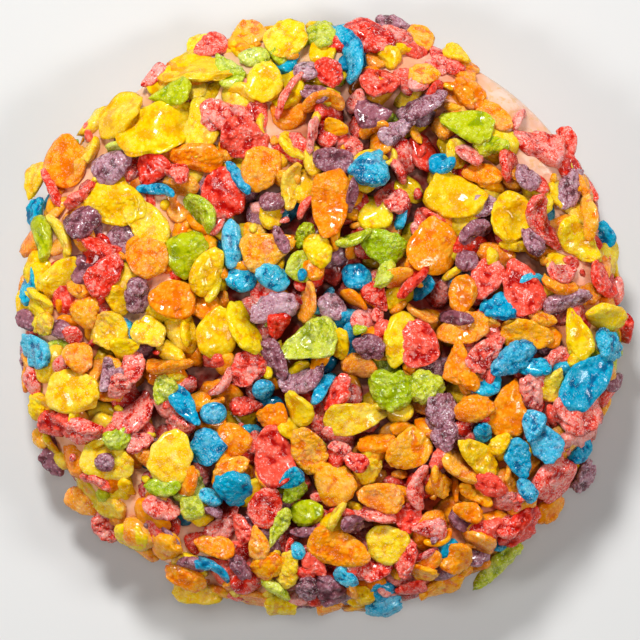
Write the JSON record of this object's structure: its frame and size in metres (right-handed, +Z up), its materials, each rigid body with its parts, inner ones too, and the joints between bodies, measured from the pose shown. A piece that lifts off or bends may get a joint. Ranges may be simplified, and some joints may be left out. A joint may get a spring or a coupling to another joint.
{
  "type": "iced cereal cookie",
  "caption": "Thick round sugar cookie with a pale icing coat, its top and sides heaped with puffed rice flakes in fruit colours, to lie flat on a plate or tray.",
  "frame": {"origin": "centre of the cookie's flat underside", "axes": "+Z up from the flat underside through the middle of the heap; +X to the right and +Y away from the viewer, as the cookie lies in the picture"},
  "size_m": [0.0985, 0.0971, 0.0226],
  "materials": {
    "baked_dough": "matt, fine crumb, browned at the foot",
    "icing": "soft gloss, smooth, slightly see-through",
    "flake_red": "puffed and knobbly, with sugar frost on the high spots",
    "flake_orange": "puffed and knobbly, with sugar frost on the high spots",
    "flake_yellow": "puffed and knobbly, with sugar frost on the high spots",
    "flake_green": "puffed and knobbly, with sugar frost on the high spots",
    "flake_blue": "puffed and knobbly, with sugar frost on the high spots",
    "flake_purple": "puffed and knobbly, with sugar frost on the high spots"
  },
  "bodies": {
    "root": {"cookie": "baked_dough", "topping": "icing"}
  },
  "joints": []
}
